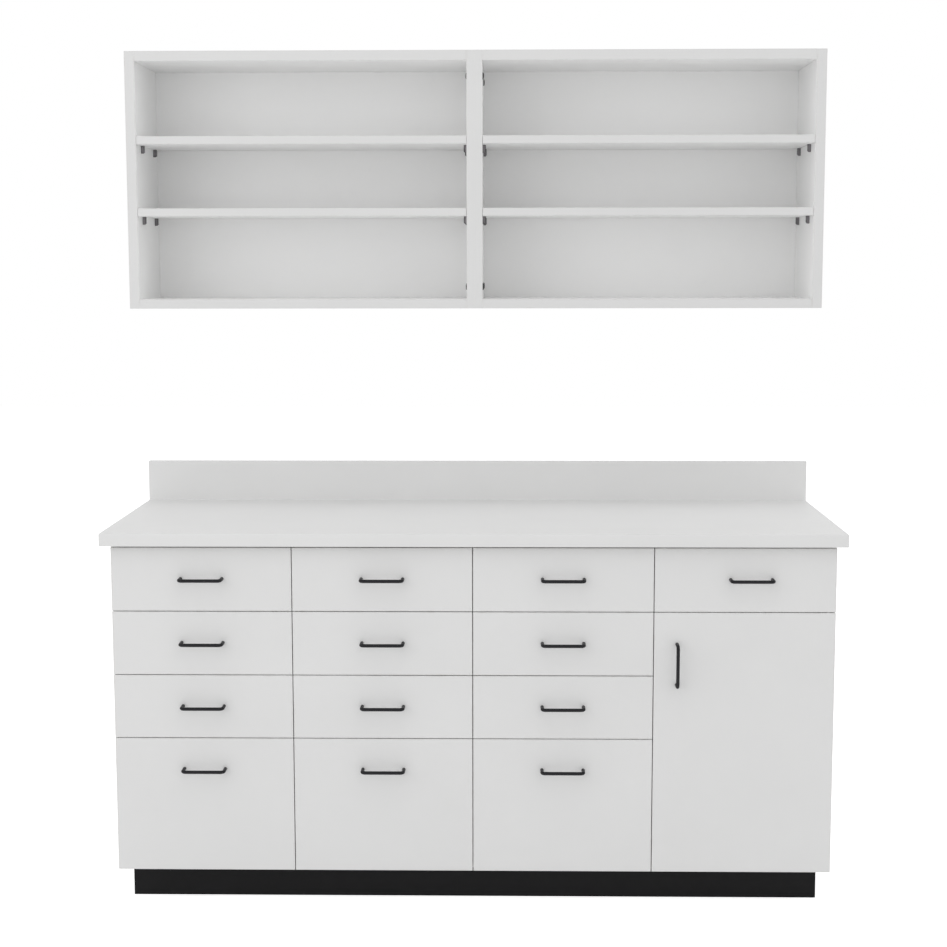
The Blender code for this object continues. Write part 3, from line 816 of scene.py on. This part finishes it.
def screw_template(name, radius, rise, ease):
    """A head with a cross recess: rise is how far it stands up, ease how far its shoulder is rounded."""
    shape = bmesh.new()
    rings = turned(shape, [(radius, 0.0), (radius, rise - ease), (radius - ease, rise)], SCREW_SIDES)
    arm, half = radius * CROSS_REACH, radius * CROSS_HALF
    cross = []
    for quarter in range(4):
        for across, along in ((-half, half), (-half, arm), (half, arm)):
            angle = quarter * math.pi / 2 - math.pi / 2
            x = along * math.cos(angle) - across * math.sin(angle)
            y = along * math.sin(angle) + across * math.cos(angle)
            cross.append((x, y))
    cross.sort(key=lambda point: math.atan2(point[1], point[0]) % (2 * math.pi))
    upper = [shape.verts.new((x, y, rise)) for x, y in cross]
    lower = [shape.verts.new((CROSS_TAPER * x, CROSS_TAPER * y, rise * CROSS_FLOOR)) for x, y in cross]
    rim = rings[-1]
    first = min(range(SCREW_SIDES), key=lambda i: (upper[0].co - rim[i].co).length)
    rim = rim[first:] + rim[:first]
    for i in range(SCREW_SIDES):
        j = (i + 1) % SCREW_SIDES
        shape.faces.new((rim[i], rim[j], upper[j], upper[i]))
        shape.faces.new((upper[i], upper[j], lower[j], lower[i]))
    shape.faces.new(lower)
    return new_template(name, shape)


pan_head = screw_template("pan_head", radius=0.0040, rise=0.0024, ease=0.0012)
flat_head = screw_template("flat_head", radius=0.0036, rise=0.0004, ease=0.0002)


def set_screws(name, spots, body=CASE_BODY, head=flat_head, finish=slide_zinc):
    """Sets screws out, each with its cross at an angle of its own."""
    set_out(name, spots, head, finish, body, turn=math.pi)


print("screw heads:", len(pan_head.data.polygons), "faces")

# %% [markdown]
# ## Shelf clips and connector caps
# Sixteen dark metal clips carry the four loose shelves, two on each side of each shelf. Each is a small
# cast angle with a hollow in its cheeks. Dark caps on both faces of the double middle board cover the bolts
# that hold the two wall cases together.

# %% Shelf clips
CLIP_REACH, CLIP_DEPTH, CLIP_HEIGHT, CLIP_CUT = 0.008, 0.010, 0.0185, 0.003
CLIP_RIM, CLIP_HOLLOW, CLIP_SETBACKS = 0.0014, 0.0022, (0.059, 0.209)
STAMPED_EASE, FIT = 0.0004, 0.0003
SHARP, ROLLED_SHARP = 40, 25
TO_LEFT, TO_RIGHT, TO_REAR = (-1.0, 0.0, 0.0), (1.0, 0.0, 0.0), (0.0, 1.0, 0.0)


def ease_sharp(shape, degrees, width, **settings):
    """Rounds the edges that are sharper than an angle in degrees."""
    rims = [rim for rim in shape.edges if rim.calc_face_angle(0.0) > math.radians(degrees)]
    ease_edges(shape, rims, width, **settings)


def stamped_template(name, shape, degrees):
    """A template with flat faces and eased edges."""
    ease_sharp(shape, degrees, STAMPED_EASE)
    for face in shape.faces:
        face.smooth = False
    return new_template(name, shape)


shape = bmesh.new()
outline = [(0.0, 0.0), (0.0, CLIP_REACH), (CLIP_CUT - CLIP_HEIGHT, CLIP_REACH)]
outline += [(-CLIP_HEIGHT, CLIP_REACH - CLIP_CUT), (-CLIP_HEIGHT, 0.0)]
sides, ends = run_section(shape, outline, -CLIP_DEPTH / 2, CLIP_DEPTH / 2)
for face in ends:
    inset(shape, face, CLIP_RIM)
    bmesh.ops.translate(shape, verts=face.verts, vec=-CLIP_HOLLOW * face.normal)
clip = stamped_template("shelf_clip", shape, SHARP)
spots = []
for word, left_t, right_t in WALL_CASES:
    low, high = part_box(f"wall_case_{word}")
    for level in LEVELS:
        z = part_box(f"wall_shelf_{word}_{level}")[0].z - FIT
        for setback in CLIP_SETBACKS:
            y = low.y + setback + CLIP_DEPTH / 2
            spots += [((low.x + left_t, y, z), TO_RIGHT), ((high.x - right_t, y, z), TO_LEFT)]
set_out("shelf_clips", spots, clip, clip_nickel)
print(len(spots), "clips")

# %% Connector caps
CAP_R, CAP_RISE, CAP_SIDES = 0.0085, 0.0035, 32
CAP_HEIGHTS, CAP_DEPTHS = (1.4537, 1.964), (0.092, 0.252)
MID_FACE = FIT / 2 + WALL_MID
shape = bmesh.new()
profile = [(CAP_R, 0.0), (CAP_R, 0.0009), (CAP_R * 0.93, 0.0018), (CAP_R * 0.72, 0.0029), (CAP_R * 0.4, 0.0034)]
turned(shape, profile + [(0.0, CAP_RISE)], CAP_SIDES)
cap = new_template("connector_cap", shape)
spots = [
    ((side * MID_FACE, y, z), (side, 0.0, 0.0)) for side in (-1.0, 1.0) for y in CAP_DEPTHS for z in CAP_HEIGHTS
]
set_out("connector_caps", spots, cap, cap_plastic, slot="black_pull")
print(len(spots), "caps")

# %% [markdown]
# ## Bar pulls
# A pull is an 8 mm bar bent twice. Its shape follows a rule, so Geometry Nodes make it: four points, a
# fillet at the two bends and a round section run along the line. One mesh serves all fourteen pulls, moved
# into place for each drawer and stood upright on the door.

# %% Bar pulls
PULL_D, BEND_STEPS, BAR_SIDES = 0.008, 10, 24
inputs = {"Geometry": GEOMETRY, "Bar": PULL_D, "Centres": 0.096, "Reach": 0.034, "Bend": 0.008, "Finish": FINISH}
bending, given, result = new_group("bar_pull", inputs)
half = calc(bending, "MULTIPLY", given["Centres"], 0.5)
other = calc(bending, "MULTIPLY", given["Centres"], -0.5)
radius = calc(bending, "MULTIPLY", given["Bar"], 0.5)
grip = calc(bending, "SUBTRACT", radius, given["Reach"])
corners = {
    f"Point {i + 1}": out(bending, "ShaderNodeCombineXYZ", {"X": x, "Y": y})
    for i, (x, y) in enumerate(((other, 0.0), (other, grip), (half, grip), (half, 0.0)))
}
line = out(bending, "GeometryNodeCurvePrimitiveQuadrilateral", corners, mode="POINTS")
opened = out(bending, "GeometryNodeSetSplineCyclic", {0: line, "Cyclic": False})
fillet = {"Curve": opened, "Count": BEND_STEPS, "Radius": given["Bend"]}
bent = out(bending, "GeometryNodeFilletCurve", fillet, mode="POLY")
ring = out(bending, "GeometryNodeCurvePrimitiveCircle", {"Resolution": BAR_SIDES, "Radius": radius})
bar = out(bending, "GeometryNodeCurveToMesh", {"Curve": bent, "Profile Curve": ring, "Fill Caps": True})
smooth = out(bending, "GeometryNodeSetShadeSmooth", {0: bar})
close_tree(bending, result, smooth, given["Finish"])
pull_mesh = grown_mesh("pull", bpy.data.meshes.new("pull_tool"), bending, {"Finish": pull_coat})
pulls = [(f"{drawer}_bar", drawer, f"{drawer}_pull", 0.0) for drawer in drawers]
pulls.append(("door_bar", DOOR_BODY, "door_pull", math.pi / 2))
for name, body, node, lean in pulls:
    low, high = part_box(node)
    middle = (low + high) / 2
    mesh = pull_mesh.copy()
    mesh.name = name
    mesh.transform(Matrix.Translation((middle.x, high.y + FIT, middle.z)) @ Matrix.Rotation(lean, 4, "Y"))
    make_piece(name, mesh, body, "black_pull", node)
print("pull:", len(pull_mesh.polygons), "faces,", len(pulls), "placed")

# %% [markdown]
# ## Drawer boxes
# A drawer box is four 12 mm boards round a thin floor. Its top edges are banded. The steel member of each
# slide is a piece of its own further down.

# %% Drawer boxes
BOX_WALL, BOX_FLOOR, FLOOR_RISE = 0.012, 0.008, 0.002
BOX_EASE, FLOOR_EASE = 0.0012, 0.0005
BAR_REACH = 0.0073
box_finishes = (melamine, edge_band, chipboard)
box_skins = {"+z": 1, "-z": 2}
for drawer in drawers:
    low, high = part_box(f"{drawer}_box")
    low.x += BAR_REACH
    high.x -= BAR_REACH
    inside_low = low + Vector((BOX_WALL, BOX_WALL, BOX_FLOOR))
    inside_high = high - Vector((BOX_WALL, BOX_WALL, 0.0))
    left, right = inside_low.x + JOINT, inside_high.x - JOINT
    shape = new_shape()
    for start, end, near, far in (
        (low.x, inside_low.x, low.y, high.y),
        (inside_high.x, high.x, low.y, high.y),
        (left, right, low.y, inside_low.y),
        (left, right, inside_high.y, high.y),
    ):
        add_board(shape, (start, near, low.z), (end, far, high.z), box_skins, BOX_EASE)
    floor_low = (left, inside_low.y + JOINT, low.z + FLOOR_RISE)
    add_board(shape, floor_low, (right, inside_high.y - JOINT, inside_low.z), ease=FLOOR_EASE)
    shaped_piece(f"{drawer}_tray", shape, box_finishes, drawer, "drawer_box", f"{drawer}_box")
print(len(drawers), "trays")

# %% [markdown]
# ## Slides
# Each drawer runs on two ball slides: a rolled channel screwed to the case and a narrower one screwed to the
# box, with their lips turned towards each other. Their sections are drawn as bent strips with a wall of their
# real gauge. The tree above sets out all the fixed members in one go, and two moving ones on each drawer.

# %% Slides
GAUGE, LIP_FOLD, CHANNEL_FOOT = 0.0012, 1.2, 0.012
SLIDE_Y = (-0.249, 0.257)
CHANNEL_H, CHANNEL_REACH, CHANNEL_LIP, CHANNEL_CLEAR = 0.045, 0.0121, 0.0008, 0.0054
RUNNER_H, RUNNER_RISE, RUNNER_LIP, RUNNER_SHORT = 0.0380, 0.0072, -0.0004, 0.001
CHANNEL_Z = CHANNEL_FOOT + CHANNEL_H / 2
SLIDE_SCREW_END, SLIDE_SCREW_MID, CHANNEL_SCREW_SHIFT = 0.05, 0.18, 0.015


def slide_template(name, tall, deep, lip, length):
    """A rolled channel that opens towards +Z: lip is how far its edges turn in, or out if negative."""
    half, fold = tall / 2, deep - abs(lip) * LIP_FOLD
    outer = [(half, 0.0), (half, fold), (half - lip, deep)]
    inner = [(half - lip - GAUGE, deep), (half - GAUGE, fold), (half - GAUGE, GAUGE)]
    mirrored = [[(-y, z) for y, z in reversed(part)] for part in (outer, inner)]
    shape = bmesh.new()
    run_section(shape, mirrored[0] + outer + inner + mirrored[1], -length / 2, length / 2)
    return stamped_template(name, shape, ROLLED_SHARP)


channel = slide_template("slide_channel", CHANNEL_H, CHANNEL_REACH, CHANNEL_LIP, SLIDE_Y[1] - SLIDE_Y[0])
low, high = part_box(f"{drawers[0]}_box")
runner = slide_template("slide_runner", RUNNER_H, RUNNER_RISE, RUNNER_LIP, high.y - low.y - RUNNER_SHORT)
channel_spots, channel_screws = [], []
channel_y = sum(SLIDE_Y) / 2
for drawer in drawers:
    low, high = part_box(f"{drawer}_box")
    z = low.z + CHANNEL_Z
    spots, screws = [], []
    for side, edge, inward, outward in ((-1.0, low.x, TO_RIGHT, TO_LEFT), (1.0, high.x, TO_LEFT, TO_RIGHT)):
        x, wall = edge - side * BAR_REACH, edge + side * CHANNEL_CLEAR
        channel_spots.append(((wall, channel_y, z), inward))
        spots.append(((x, (low.y + high.y) / 2, z), outward))
        for y in (low.y + SLIDE_SCREW_END, low.y + SLIDE_SCREW_MID, high.y - SLIDE_SCREW_END):
            screws.append(((x + side * GAUGE, y, z), outward))
            channel_screws.append(((wall - side * GAUGE, y + CHANNEL_SCREW_SHIFT, z), inward))
    set_out(f"{drawer}_runners", spots, runner, slide_zinc, drawer)
    set_screws(f"{drawer}_runner_screws", screws, drawer)
set_out("slide_channels", channel_spots, channel, slide_zinc)
set_screws("channel_screws", channel_screws)
print(len(channel_spots), "slides")

# %% [markdown]
# ## Hinges
# The two cup hinges keep the shape of their solids, because the door turns on their pins. A copy of each
# solid is merged into clean faces and its stamped edges are eased. On each plate come two wood screws and a
# pressed cover over the arm, with the two screws that adjust the door.

# %% Hinge cups and arms
HINGE_EASE, MERGE = 0.0002, 0.000002
SAME_FACE = math.radians(1.0)
for level in HINGE_Z:
    for part, body in (("arm", CASE_BODY), ("cup", DOOR_BODY)):
        node = f"hinge_{part}_{level}"
        shape = bmesh.new()
        shape.from_mesh(frame["nodes"][node].data)
        bmesh.ops.remove_doubles(shape, verts=shape.verts, dist=MERGE)
        bmesh.ops.dissolve_limit(shape, angle_limit=SAME_FACE, verts=shape.verts, edges=shape.edges)
        ease_sharp(shape, SHARP, HINGE_EASE, clamp_overlap=True)
        shaped_piece(f"{node}_plated", shape, (hinge_nickel,), body, "nickel_steel", node)
print(2 * len(HINGE_Z), "hinge halves")

# %% Hinge covers and screws
FLANGE_SCREW, PLATE_SCREW, ADJUST_SCREW = 0.025, 0.0125, 0.012
ARM_PROUD, PLATE_LENGTH = 0.0008, 0.044
COVER_HEIGHT, COVER_RISE, COVER_LENGTH = 0.0130, 0.0044, 0.042
COVER_ROUND, COVER_STEPS, COVER_EASE = 0.0022, 4, 0.0008
shape = bmesh.new()
half, shoulder = COVER_HEIGHT / 2, COVER_RISE - COVER_ROUND
outline = [(-half, 0.0), (half, 0.0)]
outline += arc((half - COVER_ROUND, shoulder), COVER_ROUND, 0, 90, COVER_STEPS)
outline += arc((COVER_ROUND - half, shoulder), COVER_ROUND, 90, 180, COVER_STEPS)
sides, ends = run_section(shape, outline, -COVER_LENGTH / 2, COVER_LENGTH / 2)
ease_edges(shape, (rim for face in ends for rim in face.edges), COVER_EASE)
cover = new_template("hinge_cover", shape)
cup_screws, plate_screws, covers = [], [], []
for level, z in HINGE_Z.items():
    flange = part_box(f"hinge_cup_{level}")[1].y
    low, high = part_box(f"hinge_arm_{level}")
    plate_face, plate_middle = low.x + ARM_PROUD, high.y - PLATE_LENGTH / 2
    covers.append(((plate_face, plate_middle, z), TO_LEFT))
    for side in (-1.0, 1.0):
        cup_screws.append(((CUP_X, flange, z + side * FLANGE_SCREW), TO_REAR))
        plate_screws.append(((plate_face, plate_middle, z + side * PLATE_SCREW), TO_LEFT))
        plate_screws.append(((plate_face - COVER_RISE, plate_middle + side * ADJUST_SCREW, z), TO_LEFT))
set_out("hinge_covers", covers, cover, hinge_nickel)
set_screws("hinge_cup_screws", cup_screws, DOOR_BODY, finish=hinge_nickel)
set_screws("hinge_plate_screws", plate_screws, finish=hinge_nickel)
print("two hinges,", len(cup_screws) + len(plate_screws), "screws")

# %% [markdown]
# ## Screws and bumpers
# Pan heads inside each drawer hold its front and its pull, flat heads round the edges of the backs hold them
# to the cases, and a soft bumper in each corner behind a front takes the knock when it closes.

# %% Screws and bumpers
BUMPER_R, BUMPER_RISE, BUMPER_SINK, BUMPER_SIDES = 0.004, 0.0026, 0.0002, 16
BUMPER_INSET, BUMPER_DRAWER_END, BUMPER_DOOR_END = 0.0052, 0.012, 0.03
SCREW_EDGE, SCREW_EDGE_UP = 0.030, 0.021
shape = bmesh.new()
profile = [(BUMPER_R, -BUMPER_SINK), (BUMPER_R, 0.0006), (0.0034, 0.0017), (0.002, 0.0024), (0.0, BUMPER_RISE)]
turned(shape, profile, BUMPER_SIDES)
bumper = new_template("bumper", shape)


def within(low, high, margin):
    """Two values, a margin in from the ends of a range."""
    return low + margin, high - margin


def on_rear(y, xs, zs):
    """Spots that face the rear, at each crossing of some x and z."""
    return [((x, y, z), TO_REAR) for x in xs for z in zs]


for drawer in drawers:
    low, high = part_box(f"{drawer}_box")
    pull_low, pull_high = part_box(f"{drawer}_pull")
    front_low, front_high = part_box(f"{drawer}_front")
    inside, margin = low.y + BOX_WALL, BAR_REACH + BOX_WALL + SCREW_EDGE
    heights = (low.z + SCREW_EDGE, high.z - SCREW_EDGE_UP)
    screws = on_rear(inside, within(low.x, high.x, margin), heights)
    screws += on_rear(inside, within(pull_low.x, pull_high.x, PULL_D / 2), [(pull_low.z + pull_high.z) / 2])
    set_screws(f"{drawer}_screws", screws, drawer, pan_head)
    heights = within(front_low.z, front_high.z, BUMPER_DRAWER_END)
    spots = on_rear(front_high.y, within(front_low.x, front_high.x, BUMPER_INSET), heights)
    set_out(f"{drawer}_bumpers", spots, bumper, bumper_rubber, drawer, None)
spots = on_rear(door_high.y, [door_low.x + BUMPER_INSET], within(door_low.z, door_high.z, BUMPER_DOOR_END))
set_out("door_bumpers", spots, bumper, bumper_rubber, DOOR_BODY, None)
pull_low, pull_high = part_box("door_pull")
pull_x = (pull_low.x + pull_high.x) / 2
feet = on_rear(door_high.y, [pull_x], within(pull_low.z, pull_high.z, PULL_D / 2))
set_screws("door_pull_screws", feet, DOOR_BODY, pan_head)
print("screws and bumpers behind", len(drawers) + 1, "fronts")

# %% Screws in the backs
BASE_MARGIN, BASE_PITCH = 0.012, 0.15
WALL_MARGIN, WALL_PITCH = 0.010, 0.13


def round_edges(y, low, high, margin, pitch):
    """Evenly spaced spots round the edges of a back, a margin in from them."""
    (left, right), (bottom, top) = within(low.x, high.x, margin), within(low.z, high.z, margin)
    across = max(1, round((right - left) / pitch))
    up = max(1, round((top - bottom) / pitch))
    spots = on_rear(y, [left + (right - left) * i / across for i in range(across + 1)], (bottom, top))
    for i in range(1, up):
        spots += on_rear(y, (left, right), [bottom + (top - bottom) * i / up])
    return spots


low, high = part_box("base_back")
spots = round_edges(high.y - BACK_SINK, low, high, BASE_MARGIN, BASE_PITCH)
for word, left_t, right_t in WALL_CASES:
    low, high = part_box(f"wall_case_{word}")
    low += Vector((left_t, 0.0, WALL_FLOOR))
    high -= Vector((right_t, 0.0, WALL_TOP))
    spots += round_edges(high.y - BACK_SINK, low, high, WALL_MARGIN, WALL_PITCH)
set_screws("back_screws", spots)
print(len(spots), "screws in the backs")

# %% [markdown]
# ## Sizes
# The templates have done their work and go. The dressed cabinet has to stay inside the box of its solids, so
# its box is printed.

# %% Sizes
for template in templates:
    bpy.data.objects.remove(template)
low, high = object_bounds()
print("visual box", [round(x, 4) for x in low], [round(x, 4) for x in high])
